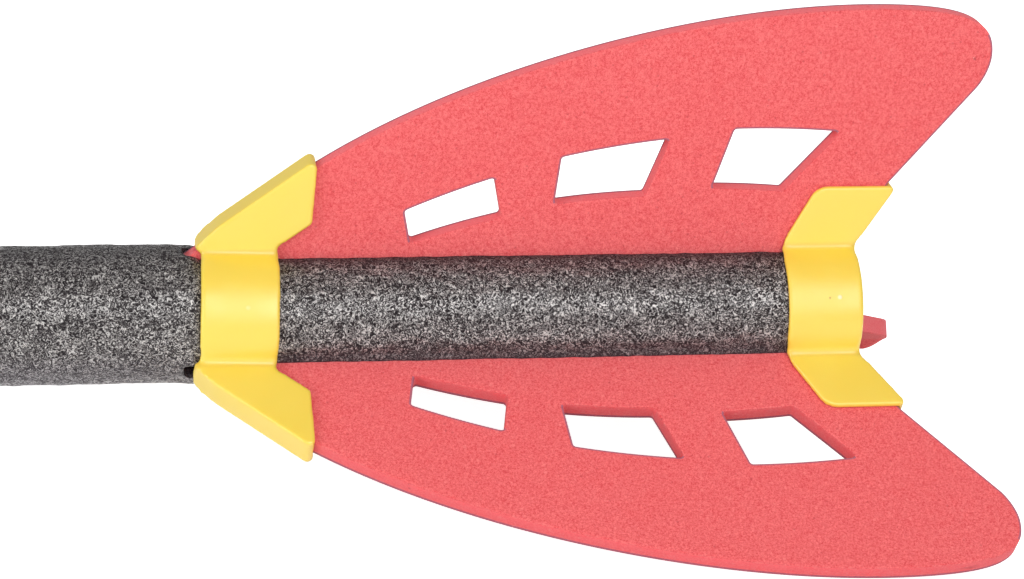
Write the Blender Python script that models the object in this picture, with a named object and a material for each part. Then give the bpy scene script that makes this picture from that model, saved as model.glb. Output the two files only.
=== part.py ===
"""Foam throwing rocket.

A dark foam tube runs over a stiff core tube, with a soft nose at its front. Three cut-out foam fins stand
in slots in its tail, and two moulded collars clasp the tube and hold the fins in U-shaped pockets.

Units are metres. The rocket's axis is X, with the nose towards -X and the tail towards +X. The top fin
stands along +Z, and the origin is the middle of the tail plug's flat rear face. A fin's outline is given in
its own plane, as places along the axis and heights above the tube's surface.
"""

import math

import bmesh
import bpy
from mathutils import Matrix, Vector
from mathutils.geometry import interpolate_bezier

# Clearances
FIT = 0.0003  # between pieces that touch
POCKET_FIT = 0.0004  # between a fin and the walls of its pocket

# Tube and core
TUBE_DIAMETER = 0.052
TAIL_DIAMETER = 0.050  # the foam is squeezed from the front collar to the tail
SQUEEZE_RUN = 0.0012  # length over which it narrows
TUBE_LENGTH = 0.7335
TUBE_EDGE = 0.0008  # chamfer round both cut ends
CORE_DIAMETER = 0.022
CORE_WALL = 0.0012

# Nose
NOSE_LENGTH = 0.068
NOSE_BAND = 0.010  # straight length before the nose starts to taper
NOSE_STEM = 0.045
NOSE_BLUNTNESS = 0.55  # 0.5 is an ellipse, more is more pointed

# Tail plug
PLUG_DIAMETER = 0.034
PLUG_FLANGE = 0.0012
PLUG_STEM = 0.018
PLUG_EDGE = 0.0004

# Fins
FIN_COUNT = 3
FIN_THICKNESS = 0.0075
FIN_NOSE_REACH = 0.0058  # how far the root shows ahead of the front collar
FIN_NOSE_DROP = 0.0007  # how far below the tail's surface the leading edge starts
LEADING_ANGLE = math.radians(38.3)  # of the straight start of the leading edge, to the axis
LEADING_STRAIGHT = 0.0300  # length of that straight start, along the axis
LEADING_HANDLE = 0.0723
CREST_HEIGHT = 0.0955
CREST_SETBACK = 0.0  # the crest's place, ahead of the tail face
CREST_FORE_HANDLE = 0.0723
CREST_AFT_HANDLE = 0.0380
TIP_REACH = 0.0468  # how far the tip stands behind the tail face
TIP_HEIGHT = 0.0771
TIP_UPPER_HANDLE = 0.0128
TIP_LOWER_HANDLE = 0.0045
TRAILING_ANGLE = math.radians(39.2)  # of the free trailing edge, to the radial direction
TRAILING_TOP = 0.0642  # height where the rounded tip runs into the trailing edge
TRAILING_HANDLE = 0.0036
SEAT_ANGLE = math.radians(31.8)  # of the edge that seats in the rear collar, to the radial direction
SEAT_SETBACK = 0.0051  # where that edge crosses the tube's surface, ahead of the tail face
SEAT_HEIGHT = 0.0270  # where the seated edge gives way to the free trailing edge

# Windows lie between two long arcs: (place of the arc's crest ahead of the tail face, its height, radius)
OUTER_ARC = (0.0319, 0.0492, 0.348)
INNER_ARC = (0.0568, 0.0256, 0.320)
# Each window's front and rear edges: distance ahead of the tail face (outer end, inner end)
WINDOWS = (
    ((0.1734, 0.1710), (0.1399, 0.1369)),
    ((0.1150, 0.1171), (0.0747, 0.0831)),
    ((0.0499, 0.0573), (0.0093, 0.0302)),
)
WINDOW_CORNER = 0.0014

# Collars
COLLAR_PITCH = 0.2205  # from the front ring to the rear ring
RING_WIDTH = 0.029
COLLAR_WALL = 0.0022
RING_EDGE = 0.0006
CHEEK_EDGE = 0.0008
HORN_LENGTH = 0.0414  # from the front ring's front edge to the cheeks' rear edge
HORN_FOOT = 0.0018  # how far the sloped front wall stands ahead of its ring
HORN_HEEL_HEIGHT = 0.0140  # height of the corner low on the cheeks' rear edge
HORN_HEEL_SETBACK = 0.0011
HORN_STEP = 0.0045  # height of the cheeks where they leave the ring's rear edge
HORN_TIP_RADIUS = 0.0022
CHEEK_HEIGHT = 0.0262  # of the rear collar's cheeks
CHEEK_RUN = 0.0120  # how far the rear cheeks' front edge leans back over its height
CHEEK_FRONT_RADIUS = 0.0055
CHEEK_REAR_RADIUS = 0.0016
WALL_NUB = 0.0010  # how far the rear wall stands above its cheeks
NUB_INSET = 0.0004  # of the rear wall's outer end, from the cheeks' faces

# Slots cut in the tube for the fins
SLOT_FIT = 0.0003
SLOT_LEAD = 0.0012  # how far a slot starts ahead of its fin

ROUND = 72  # sides of the tube and the rings
CURVE_STEPS = 14
CORNER_STEPS = 4

TUBE_RADIUS = TUBE_DIAMETER / 2
TAIL_RADIUS = TAIL_DIAMETER / 2
CORE_RADIUS = CORE_DIAMETER / 2
CORE_BORE = CORE_RADIUS - CORE_WALL
TUBE_REAR = -PLUG_FLANGE - FIT
TUBE_FRONT = TUBE_REAR - TUBE_LENGTH
FRONT_RING = -COLLAR_PITCH - RING_WIDTH  # the front ring's front edge
FIN_NOSE = FRONT_RING - FIN_NOSE_REACH
FIN_ROOT = CORE_RADIUS + FIT
FIN_ANGLES = {"top_fin": 0.0, "left_fin": 2 * math.pi / FIN_COUNT, "right_fin": -2 * math.pi / FIN_COUNT}

MATERIALS = {
    "foam_charcoal": ((0.105, 0.098, 0.098), 0.75, 0.0),
    "foam_red": ((0.80, 0.13, 0.13), 0.80, 0.0),
    "plastic_yellow": ((0.95, 0.63, 0.05), 0.30, 0.0),
    "plastic_grey": ((0.30, 0.30, 0.31), 0.45, 0.0),
}


def clear_scene():
    """Removes whatever the scene holds."""
    for obj in list(bpy.data.objects):
        bpy.data.objects.remove(obj, do_unlink=True)


def make_material(name):
    """A plain Principled material from the table of colours, roughness and metallic value."""
    colour, roughness, metallic = MATERIALS[name]
    material = bpy.data.materials.new(name)
    material.use_nodes = True
    shader = material.node_tree.nodes["Principled BSDF"]
    shader.inputs["Base Color"].default_value = (*colour, 1.0)
    shader.inputs["Roughness"].default_value = roughness
    shader.inputs["Metallic"].default_value = metallic
    material.diffuse_color = (*colour, 1.0)
    return material


def add_object(name, mesh, material=None):
    """Links a mesh to the scene as an object; without a material it is a helper that isn't rendered."""
    obj = bpy.data.objects.new(name, mesh)
    bpy.context.scene.collection.objects.link(obj)
    if material is None:
        obj.hide_render = True
        obj.display_type = "WIRE"
    else:
        mesh.materials.append(material)
    return obj


def finish_mesh(name, shape, smooth=True):
    """Turns a bmesh into a mesh with its faces out and its round faces smooth."""
    bmesh.ops.remove_doubles(shape, verts=shape.verts, dist=1e-6)
    bmesh.ops.recalc_face_normals(shape, faces=shape.faces)
    mesh = bpy.data.meshes.new(name)
    shape.to_mesh(mesh)
    shape.free()
    if smooth:
        mesh.shade_smooth()
        mesh.set_sharp_from_angle(angle=math.radians(30))
    return mesh


def turned(name, profile, closed):
    """Spins a profile of (along the axis, radius) round X; a closed one makes a tube, an open one a plug."""
    shape = bmesh.new()
    rim = [shape.verts.new((x, 0.0, radius)) for x, radius in profile]
    ends = zip(rim, rim[1:] + rim[:1]) if closed else zip(rim, rim[1:])
    edges = [shape.edges.new(pair) for pair in ends]
    bmesh.ops.spin(
        shape,
        geom=rim + edges,
        cent=(0, 0, 0),
        axis=(1, 0, 0),
        angle=2 * math.pi,
        steps=ROUND,
        use_merge=True,
    )
    return finish_mesh(name, shape)


def plate(name, outline, thickness, holes=(), edge=0.0):
    """Cuts a flat plate from an outline in the XZ plane, centred on it, with holes and a rounded edge."""
    curve = bpy.data.curves.new(name, "CURVE")
    curve.dimensions = "2D"
    curve.fill_mode = "BOTH"
    curve.extrude = thickness / 2 - edge
    curve.bevel_depth = edge
    curve.bevel_resolution = 1
    curve.offset = -edge
    for ring in (outline, *holes):
        spline = curve.splines.new("POLY")
        spline.points.add(len(ring) - 1)
        for point, (x, height) in zip(spline.points, ring):
            point.co = (x, height, 0.0, 1.0)
        spline.use_cyclic_u = True
    helper = bpy.data.objects.new(name, curve)
    bpy.context.scene.collection.objects.link(helper)
    drawn = helper.evaluated_get(bpy.context.evaluated_depsgraph_get()).to_mesh()
    shape = bmesh.new()
    shape.from_mesh(drawn)
    bpy.data.objects.remove(helper, do_unlink=True)
    bpy.data.curves.remove(curve)
    bmesh.ops.rotate(shape, verts=shape.verts, cent=(0, 0, 0), matrix=Matrix.Rotation(math.pi / 2, 3, "X"))
    return finish_mesh(name, shape)


def lined_up(points):
    """Drops points that repeat the one before them."""
    kept = [point for point, last in zip(points, points[-1:] + points[:-1]) if (point - last).length > 1e-6]
    return [(point.x, point.y) for point in kept]


def fillet(before, corner, after, radius):
    """The points of an arc that rounds one corner of an outline."""
    back = (before - corner).normalized()
    ahead = (after - corner).normalized()
    half = back.angle(ahead) / 2
    reach = radius / math.tan(half)
    centre = corner + (back + ahead).normalized() * radius / math.sin(half)
    start = corner + back * reach - centre
    swing = start.angle_signed(corner + ahead * reach - centre)
    turns = [Matrix.Rotation(-swing * step / CORNER_STEPS, 2) for step in range(CORNER_STEPS + 1)]
    return [centre + turn @ start for turn in turns]


def rounded(corners):
    """An outline of (place, height, radius) corners, each with its own rounding."""
    points = [Vector((x, height)) for x, height, _ in corners]
    outline = []
    for index, (_, _, radius) in enumerate(corners):
        before, corner, after = points[index - 1], points[index], points[(index + 1) % len(points)]
        outline += fillet(before, corner, after, radius) if radius else [corner]
    return lined_up(outline)


def polar(angle, length):
    """A step of this length, at this angle to the axis."""
    return Vector((math.cos(angle), math.sin(angle))) * length


def leading_height(x):
    """Radial place of the straight start of the leading edge, carried on as far as is asked."""
    return TAIL_RADIUS + (x - FIN_NOSE) * math.tan(LEADING_ANGLE) - FIN_NOSE_DROP


def seat_place(radius):
    """Place along the axis of the fin's seated rear edge, at this distance from the axis."""
    return -SEAT_SETBACK + (radius - TAIL_RADIUS) * math.tan(SEAT_ANGLE)


def fin_outline():
    """The fin's edge in its own plane: root, leading edge, crest, rounded tip and trailing edge."""
    straight_end = FIN_NOSE + LEADING_STRAIGHT
    start = Vector((straight_end, leading_height(straight_end)))
    crest = Vector((-CREST_SETBACK, TAIL_RADIUS + CREST_HEIGHT))
    tip = Vector((TIP_REACH, TAIL_RADIUS + TIP_HEIGHT))
    seat_top = TAIL_RADIUS + SEAT_HEIGHT
    seat_end = Vector((seat_place(seat_top), seat_top))
    trailing = math.pi / 2 - TRAILING_ANGLE
    climb = (TRAILING_TOP - SEAT_HEIGHT) / math.sin(trailing)
    corner = seat_end + polar(trailing, climb)
    along = Vector((1.0, 0.0))
    up = Vector((0.0, 1.0))
    points = [Vector((FIN_NOSE, FIN_ROOT)), Vector((FIN_NOSE, leading_height(FIN_NOSE)))]
    points += interpolate_bezier(
        start, start + polar(LEADING_ANGLE, LEADING_HANDLE), crest - along * CREST_FORE_HANDLE, crest, 2 * CURVE_STEPS
    )
    points += interpolate_bezier(
        crest, crest + along * CREST_AFT_HANDLE, tip + up * TIP_UPPER_HANDLE, tip, CURVE_STEPS
    )
    points += interpolate_bezier(
        tip, tip - up * TIP_LOWER_HANDLE, corner + polar(trailing, TRAILING_HANDLE), corner, CURVE_STEPS // 2
    )
    points += [seat_end, Vector((seat_place(FIN_ROOT), FIN_ROOT))]
    return lined_up(points)


def on_arc(arc, ahead):
    """The point of one of the window arcs that lies this far ahead of the tail face."""
    crest, height, radius = arc
    drop = radius - math.sqrt(radius**2 - (ahead - crest) ** 2)
    return (-ahead, TAIL_RADIUS + height - drop)


def window_outline(front, rear):
    """A window with slanted ends, whose long edges follow the two arcs."""
    shares = (0.0, 0.25, 0.5, 0.75, 1.0)
    outer = [on_arc(OUTER_ARC, front[0] + (rear[0] - front[0]) * share) for share in shares]
    inner = [on_arc(INNER_ARC, rear[1] + (front[1] - rear[1]) * share) for share in shares]
    radii = (WINDOW_CORNER, 0.0, 0.0, 0.0, WINDOW_CORNER)
    return rounded([(x, height, radius) for (x, height), radius in zip(outer + inner, radii * 2)])


def grown(outline, margin):
    """The outline moved outwards by a margin on every side."""
    points = [Vector(point) for point in outline]
    area = sum(a.cross(b) for a, b in zip(points, points[1:] + points[:1]))
    side = math.copysign(1.0, area)
    moved = []
    for before, point, after in zip(points[-1:] + points[:-1], points, points[1:] + points[:1]):
        first = (point - before).normalized()
        second = (after - point).normalized()
        normals = Vector((first.y, -first.x)) + Vector((second.y, -second.x))
        half = normals.normalized()
        moved.append(point + half * side * margin / max(half.dot(Vector((first.y, -first.x))), 0.3))
    return lined_up(moved)


def horn_outline():
    """The front collar's cheek: a sloped front edge, a rounded tip, and a rear edge with a low heel."""
    rise = (POCKET_FIT + COLLAR_WALL) / math.cos(LEADING_ANGLE)
    foot = FRONT_RING - HORN_FOOT
    end = FRONT_RING + HORN_LENGTH
    sunk = TAIL_RADIUS - COLLAR_WALL
    return rounded(
        [
            (FRONT_RING + RING_EDGE, sunk, 0.0),
            (FRONT_RING + RING_EDGE, TAIL_RADIUS + FIT + COLLAR_WALL, 0.0),
            (foot, leading_height(foot) + rise, 0.0),
            (end, leading_height(end) + rise, HORN_TIP_RADIUS),
            (end - HORN_HEEL_SETBACK, TAIL_RADIUS + HORN_HEEL_HEIGHT, 0.0015),
            (FRONT_RING + RING_WIDTH - RING_EDGE, TAIL_RADIUS + HORN_STEP, 0.0015),
            (FRONT_RING + RING_WIDTH - RING_EDGE, sunk, 0.0),
        ]
    )


def cheek_outline():
    """The rear collar's cheek: a leaning front edge, a level top, and a rear edge along the fin's seat."""
    top = TAIL_RADIUS + CHEEK_HEIGHT
    sunk = TAIL_RADIUS - COLLAR_WALL
    back = (POCKET_FIT + COLLAR_WALL) / math.cos(SEAT_ANGLE)
    ring_top = TAIL_RADIUS + FIT + COLLAR_WALL
    rear_foot = TAIL_RADIUS + (SEAT_SETBACK - back - RING_EDGE) / math.tan(SEAT_ANGLE)
    return rounded(
        [
            (-RING_WIDTH + RING_EDGE, sunk, 0.0),
            (-RING_WIDTH + RING_EDGE, ring_top, 0.0),
            (-RING_WIDTH + CHEEK_RUN, top, CHEEK_FRONT_RADIUS),
            (seat_place(top) + back, top, CHEEK_REAR_RADIUS),
            (-RING_EDGE, max(rear_foot, ring_top), 0.0),
            (-RING_EDGE, sunk, 0.0),
        ]
    )


def nub_outline():
    """The rear wall's outer end, which stands a little above the cheeks."""
    back = (POCKET_FIT + COLLAR_WALL - NUB_INSET) / math.cos(SEAT_ANGLE)
    top = TAIL_RADIUS + CHEEK_HEIGHT + WALL_NUB
    low = top - 4 * COLLAR_WALL
    return rounded(
        [
            (seat_place(low), low, 0.0),
            (seat_place(top), top, 0.0),
            (seat_place(top) + back, top, CHEEK_EDGE),
            (seat_place(low) + back, low, 0.0),
        ]
    )


def stood(obj, angle):
    """Turns an object from the top fin's plane round the axis."""
    obj.rotation_euler = (angle, 0.0, 0.0)
    return obj


def boolean(obj, operation, other):
    """Adds an exact Boolean modifier."""
    modifier = obj.modifiers.new(f"{operation.lower()} {other.name}", "BOOLEAN")
    modifier.operation = operation
    modifier.solver = "EXACT"
    modifier.object = other


def add_tube(materials):
    """The foam tube, bored for its core and slotted through its wall for the fins."""
    bore = CORE_RADIUS + FIT
    profile = [
        (TUBE_FRONT, bore),
        (TUBE_FRONT, TUBE_RADIUS - TUBE_EDGE),
        (TUBE_FRONT + TUBE_EDGE, TUBE_RADIUS),
        (FRONT_RING - FIT - SQUEEZE_RUN, TUBE_RADIUS),
        (FRONT_RING - FIT, TAIL_RADIUS),
        (TUBE_REAR - TUBE_EDGE, TAIL_RADIUS),
        (TUBE_REAR, TAIL_RADIUS - TUBE_EDGE),
        (TUBE_REAR, bore),
    ]
    tube = add_object("body_tube", turned("body_tube", profile, True), materials["foam_charcoal"])
    slot_front = FIN_NOSE - SLOT_LEAD
    slot = [(slot_front, 0.0), (slot_front, 2 * TAIL_RADIUS), (RING_WIDTH, 2 * TAIL_RADIUS), (RING_WIDTH, 0.0)]
    mesh = plate("slot", slot, FIN_THICKNESS + 2 * SLOT_FIT)
    for name, angle in FIN_ANGLES.items():
        boolean(tube, "DIFFERENCE", stood(add_object(f"slot_for_{name}", mesh), angle))


def add_core(materials):
    """The stiff tube inside the foam."""
    front = TUBE_FRONT
    profile = [(front, CORE_BORE), (front, CORE_RADIUS), (TUBE_REAR, CORE_RADIUS), (TUBE_REAR, CORE_BORE)]
    add_object("core_tube", turned("core_tube", profile, True), materials["plastic_grey"])


def add_nose(materials):
    """The soft nose, with a stem that plugs into the core."""
    base = TUBE_FRONT - FIT
    stem = CORE_BORE - FIT
    taper = NOSE_LENGTH - NOSE_BAND
    profile = [(base + NOSE_STEM, 0.0), (base + NOSE_STEM, stem - FIT), (base + NOSE_STEM - FIT, stem), (base, stem)]
    profile += [(base, TUBE_RADIUS - TUBE_EDGE), (base - TUBE_EDGE, TUBE_RADIUS)]
    for step in range(CURVE_STEPS + 1):
        share = math.sin(math.pi / 2 * step / CURVE_STEPS)
        radius = TUBE_RADIUS * (1 - share**2) ** NOSE_BLUNTNESS
        profile.append((base - NOSE_BAND - taper * share, radius))
    add_object("nose_cone", turned("nose_cone", profile, False), materials["foam_red"])


def add_plug(materials):
    """The tail plug: a stem in the core's end and a flat flange over the cut foam."""
    stem = CORE_BORE - FIT
    rim = PLUG_DIAMETER / 2
    profile = [
        (0.0, 0.0),
        (0.0, rim - PLUG_EDGE),
        (-PLUG_EDGE, rim),
        (-PLUG_FLANGE, rim),
        (-PLUG_FLANGE, stem),
        (-PLUG_FLANGE - PLUG_STEM, stem),
        (-PLUG_FLANGE - PLUG_STEM, 0.0),
    ]
    add_object("tail_plug", turned("tail_plug", profile, False), materials["plastic_yellow"])


def add_fins(materials):
    """The three fins, cut alike from flat sheet, each with its windows."""
    holes = [window_outline(front, rear) for front, rear in WINDOWS]
    mesh = plate("fin", fin_outline(), FIN_THICKNESS, holes)
    for name, angle in FIN_ANGLES.items():
        stood(add_object(name, mesh.copy(), materials["foam_red"]), angle)


def add_collar(name, front, blocks, materials):
    """A ring with three fin pockets. Solid blocks are joined to it, then the tube and fins are cut out.

    Each block is an outline and how far its two flat sides are set in from the pocket's outer faces.
    """
    outer = TAIL_RADIUS + FIT + COLLAR_WALL
    rear = front + RING_WIDTH
    profile = [
        (front, 0.0),
        (front, outer - RING_EDGE),
        (front + RING_EDGE, outer),
        (rear - RING_EDGE, outer),
        (rear, outer - RING_EDGE),
        (rear, 0.0),
    ]
    collar = add_object(name, turned(name, profile, False), materials["plastic_yellow"])
    width = FIN_THICKNESS + 2 * (POCKET_FIT + COLLAR_WALL)
    for index, (outline, inset) in enumerate(blocks):
        mesh = plate(f"{name}_block_{index}", outline, width - 2 * inset, edge=CHEEK_EDGE)
        for fin, angle in FIN_ANGLES.items():
            boolean(collar, "UNION", stood(add_object(f"{mesh.name}_{fin}", mesh), angle))
    bore = TAIL_RADIUS + FIT
    reach = 2 * HORN_LENGTH
    through = [(front - reach, 0.0), (front - reach, bore), (rear + reach, bore), (rear + reach, 0.0)]
    boolean(collar, "DIFFERENCE", add_object(f"{name}_bore", turned(f"{name}_bore", through, False)))
    pocket = plate(f"{name}_pocket", grown(fin_outline(), POCKET_FIT), FIN_THICKNESS + 2 * POCKET_FIT)
    for fin, angle in FIN_ANGLES.items():
        boolean(collar, "DIFFERENCE", stood(add_object(f"{pocket.name}_{fin}", pocket), angle))


def main():
    """Builds the rocket."""
    clear_scene()
    materials = {name: make_material(name) for name in MATERIALS}
    add_tube(materials)
    add_core(materials)
    add_nose(materials)
    add_plug(materials)
    add_fins(materials)
    add_collar("front_fin_collar", FRONT_RING, [(horn_outline(), 0.0)], materials)
    add_collar("rear_fin_collar", -RING_WIDTH, [(cheek_outline(), 0.0), (nub_outline(), NUB_INSET)], materials)


main()
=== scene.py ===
"""Foam throwing rocket: rough foam tube, cut foam fins, moulded collars and a soft nose, in a pale studio.

Units are metres. The rocket's axis is X with the nose towards -X, the top fin stands along +Z, and the
origin is the middle of the tail plug's flat rear face. A fin is drawn in its own plane, as places along
the axis and distances from the axis.
"""

import logging
import math
from dataclasses import dataclass
from enum import Enum
from functools import reduce

import bmesh
import bpy
from mathutils import Euler, Matrix, Vector, noise
from mathutils.geometry import interpolate_bezier


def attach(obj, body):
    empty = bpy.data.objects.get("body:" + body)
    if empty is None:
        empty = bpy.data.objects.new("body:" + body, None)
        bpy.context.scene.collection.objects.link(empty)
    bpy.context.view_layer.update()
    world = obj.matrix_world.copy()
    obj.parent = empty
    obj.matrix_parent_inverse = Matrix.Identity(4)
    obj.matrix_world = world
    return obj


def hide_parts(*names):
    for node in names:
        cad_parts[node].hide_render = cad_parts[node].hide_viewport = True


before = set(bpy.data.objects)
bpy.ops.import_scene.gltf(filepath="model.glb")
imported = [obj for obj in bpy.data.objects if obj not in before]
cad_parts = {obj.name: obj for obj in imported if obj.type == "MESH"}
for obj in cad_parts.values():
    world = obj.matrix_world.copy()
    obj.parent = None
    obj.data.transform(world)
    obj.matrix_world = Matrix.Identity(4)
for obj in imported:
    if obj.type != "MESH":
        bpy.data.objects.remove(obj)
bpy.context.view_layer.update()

LOG = logging.getLogger("rocket")
ROOT = "root"
SAME = 1e-6  # points nearer than this count as one
FLAT = 0.98  # a face is in a sheet's plane when its normal goes this far across the sheet
EVEN = 0.5  # the value round which a Noise texture wavers
WHITE = (1.0, 1.0, 1.0)
Colour = tuple[float, float, float]
Point = tuple[float, float]
Point3 = tuple[float, float, float]
Mesh, Object, Material = bpy.types.Mesh, bpy.types.Object, bpy.types.Material
Tree, Node, Socket = bpy.types.NodeTree, bpy.types.Node, bpy.types.NodeSocket
Shape = bmesh.types.BMesh


@dataclass(frozen=True)
class FinFit:
    """How a fin was glued in.

    Attributes:
        node: The CAD node that it stands for.
        way: Degrees round the axis, from the top.
        lean: Degrees by which it leans in its own plane.
        setback: How far its nose stops short of the slot's end.
        crease: How deep the foam is creased in along it, or swells out where below 0.
        shade_line_side: The side, -1 or 1, of the painted dark shade line along the forward and outward cuts,
            or 0 for none.
        lift: How far its nose stands proud of the straight leading edge.
    """

    node: str
    way: float
    lean: float
    setback: float
    crease: float
    shade_line_side: int
    lift: float

    @property
    def turn(self) -> Matrix:
        """The turn round the axis that brings the top fin's plane here."""
        return Matrix.Rotation(math.radians(self.way), 4, "X")

    def stand(self, pivot: float) -> Matrix:
        """The fin's own place: turned round the axis, and leant about a point this far from the axis."""
        foot = Matrix.Translation((0.0, 0.0, pivot))
        return self.turn @ foot @ Matrix.Rotation(math.radians(self.lean), 4, "Y") @ foot.inverted()


class FinPlace(FinFit, Enum):
    """The three fins, each as a hand glued it in."""

    TOP = ("top_fin", 0.0, -0.45, -0.0003, 0.0006, 1, 0.0016)
    LEFT = ("left_fin", 120.0, 0.35, 0.0060, -0.0006, -1, -0.0018)
    RIGHT = ("right_fin", -120.0, -0.5, 0.0, 0.0006, 0, 0.0016)


# Meshes


def new_object(name: str, mesh: Mesh) -> Object:
    """Links a mesh that is already in place to the scene."""
    obj = bpy.data.objects.new(name, mesh)
    bpy.context.scene.collection.objects.link(obj)
    return obj


def to_mesh(name: str, shape: Shape, sharp: float = 35.0) -> Mesh:
    """Turns a bmesh into a smooth-shaded mesh that is sharp at its real edges.

    Args:
        name: The mesh's name.
        shape: The bmesh, which is freed.
        sharp: Angle in degrees from which an edge counts as sharp.

    Returns:
        The finished mesh.
    """
    mesh = bpy.data.meshes.new(name)
    shape.to_mesh(mesh)
    shape.free()
    mesh.shade_smooth()
    mesh.set_sharp_from_angle(angle=math.radians(sharp))
    return mesh


def tidy(shape: Shape) -> None:
    """Merges doubles and points the faces outwards."""
    bmesh.ops.remove_doubles(shape, verts=shape.verts, dist=SAME)
    bmesh.ops.recalc_face_normals(shape, faces=shape.faces)


def turned(profile: list[Point], steps: int, closed: bool = False) -> Shape:
    """Spins a profile round the X axis.

    Args:
        profile: Places along the axis and distances from it.
        steps: Sides of the full turn.
        closed: True for a tube, whose profile closes on itself.

    Returns:
        The closed shell.
    """
    shape = bmesh.new()
    rim = [shape.verts.new((x, 0.0, radius)) for x, radius in profile]
    ends = zip(rim, rim[1:] + rim[:1]) if closed else zip(rim, rim[1:])
    geom = rim + [shape.edges.new(pair) for pair in ends]
    full = 2 * math.pi
    bmesh.ops.spin(shape, geom=geom, cent=(0, 0, 0), axis=(1, 0, 0), angle=full, steps=steps, use_merge=True)
    tidy(shape)
    return shape


def plate(rings: list[list[Point]], thickness: float, edge: float, steps: int, rim: float = 0.0) -> Shape:
    """Cuts a flat plate in the XZ plane, centred on it, with its rims rounded.

    Args:
        rings: The outline, then the outlines of its holes.
        thickness: The plate's thickness.
        edge: Radius of the rounded rims, or 0 for plain ones.
        steps: Facets of the rounding.
        rim: Width of the narrow faces along the rims, or 0 for the usual width.

    Returns:
        The closed plate.
    """
    usual_rim = 2.2 * edge
    sharp_turn = 1.0
    shape = bmesh.new()
    for ring in rings:
        points = [shape.verts.new((x, -thickness / 2, height)) for x, height in ring]
        for pair in zip(points, points[1:] + points[:1]):
            shape.edges.new(pair)
    bmesh.ops.triangle_fill(shape, use_beauty=True, use_dissolve=False, edges=shape.edges[:])
    if edge:
        narrow = {"thickness": rim or usual_rim, "depth": 0.0, "use_boundary": True, "use_even_offset": True}
        bmesh.ops.inset_region(shape, faces=shape.faces[:], **narrow)
    grown_faces = bmesh.ops.extrude_face_region(shape, geom=shape.faces[:])["geom"]
    lifted = [item for item in grown_faces if isinstance(item, bmesh.types.BMVert)]
    bmesh.ops.translate(shape, verts=lifted, vec=(0.0, thickness, 0.0))
    tidy(shape)
    if edge:
        turns = [item for item in shape.edges if item.calc_face_angle(0.0) > sharp_turn]
        rims = [item for item in turns if abs(item.verts[0].co.y - item.verts[1].co.y) < SAME]
        round_off = {"offset_type": "OFFSET", "profile": 0.5, "affect": "EDGES", "clamp_overlap": True}
        bmesh.ops.bevel(shape, geom=rims, offset=edge, segments=steps, material=-1, **round_off)
    return shape


def sliced(shape: Shape, place: Point3, normal: Point3) -> None:
    """Slices all faces along a plane."""
    geom = [*shape.verts, *shape.edges, *shape.faces]
    bmesh.ops.bisect_plane(shape, geom=geom, plane_co=place, plane_no=normal, dist=SAME)


def cut(obj: Object, cutters: list[Object]) -> None:
    """Adds a Boolean modifier for each helper that is cut out of the object."""
    for cutter in cutters:
        modifier = obj.modifiers.new(f"cut {cutter.name}", "BOOLEAN")
        modifier.operation = "DIFFERENCE"
        modifier.solver = "MANIFOLD"
        modifier.object = cutter


def baked(obj: Object, cutters: list[Object]) -> Mesh:
    """The object's mesh with its modifiers applied. The object and its cutters are removed."""
    mesh = bpy.data.meshes.new_from_object(obj.evaluated_get(bpy.context.evaluated_depsgraph_get()))
    for helper in (obj, *cutters):
        bpy.data.objects.remove(helper, do_unlink=True)
    return mesh


def finished(name: str, mesh: Mesh, materials: list[Material], slot: str, *nodes: str) -> Object:
    """Makes a finished piece.

    Args:
        name: The piece's name.
        mesh: Its mesh.
        materials: Its materials, in the order of the faces' numbers.
        slot: The name of a material slot; not used.
        nodes: The CAD nodes that it stands for.

    Returns:
        The piece.
    """
    for material in materials:
        mesh.materials.append(material)
    piece = new_object(name, mesh)
    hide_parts(*nodes)
    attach(piece, ROOT)
    return piece


# Outlines


def smooth_step(share: float) -> float:
    """0 below 0, 1 above 1, and a smooth step between."""
    share = min(max(share, 0.0), 1.0)
    return share * share * (3 - 2 * share)


def polar(angle: float, length: float) -> Vector:
    """A step of this length, at this angle to the axis."""
    return Vector((math.cos(angle), math.sin(angle))) * length


def corner_arc(x: float, radius: float, edge: float, steps: int, side: int = -1) -> list[Point]:
    """The rounded corner of a turned end: a quarter round from its face to its side.

    Args:
        x: Place of the end's face along the axis.
        radius: Radius of the side.
        edge: Radius of the rounding.
        steps: Facets of the rounding.
        side: The way along the axis, -1 or 1, in which the piece goes on from the face.

    Returns:
        The arc's points, from the face outwards.
    """
    turns = [math.pi / 2 * step / steps for step in range(steps + 1)]
    return [(x + side * edge * (1 - math.cos(turn)), radius - edge * (1 - math.sin(turn))) for turn in turns]


def lined_up(points: list[Vector]) -> list[Point]:
    """Drops points that repeat the one before them."""
    pairs = zip(points, points[-1:] + points[:-1])
    return [(point.x, point.y) for point, last in pairs if (point - last).length > SAME]


def fillet(before: Vector, corner: Vector, after: Vector, radius: float, steps: int = 8) -> list[Vector]:
    """The points of an arc that rounds one corner of an outline.

    Args:
        before: The corner before it.
        corner: The corner to round.
        after: The corner after it.
        radius: The arc's radius.
        steps: Facets of the arc.

    Returns:
        The arc's points, from the side of before to the side of after.
    """
    back = (before - corner).normalized()
    ahead = (after - corner).normalized()
    half = back.angle(ahead) / 2
    reach = radius / math.tan(half)
    centre = corner + (back + ahead).normalized() * radius / math.sin(half)
    start = corner + back * reach - centre
    swing = start.angle_signed(corner + ahead * reach - centre)
    return [centre + Matrix.Rotation(-swing * step / steps, 2) @ start for step in range(steps + 1)]


def rounded(corners: list[Point3]) -> list[Point]:
    """An outline of (place, distance from the axis, radius) corners, each with its own rounding."""
    points = [Vector((x, height)) for x, height, _ in corners]
    outline = []
    for index, (_, _, radius) in enumerate(corners):
        before, corner, after = points[index - 1], points[index], points[(index + 1) % len(points)]
        outline += fillet(before, corner, after, radius) if radius else [corner]
    return lined_up(outline)


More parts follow.
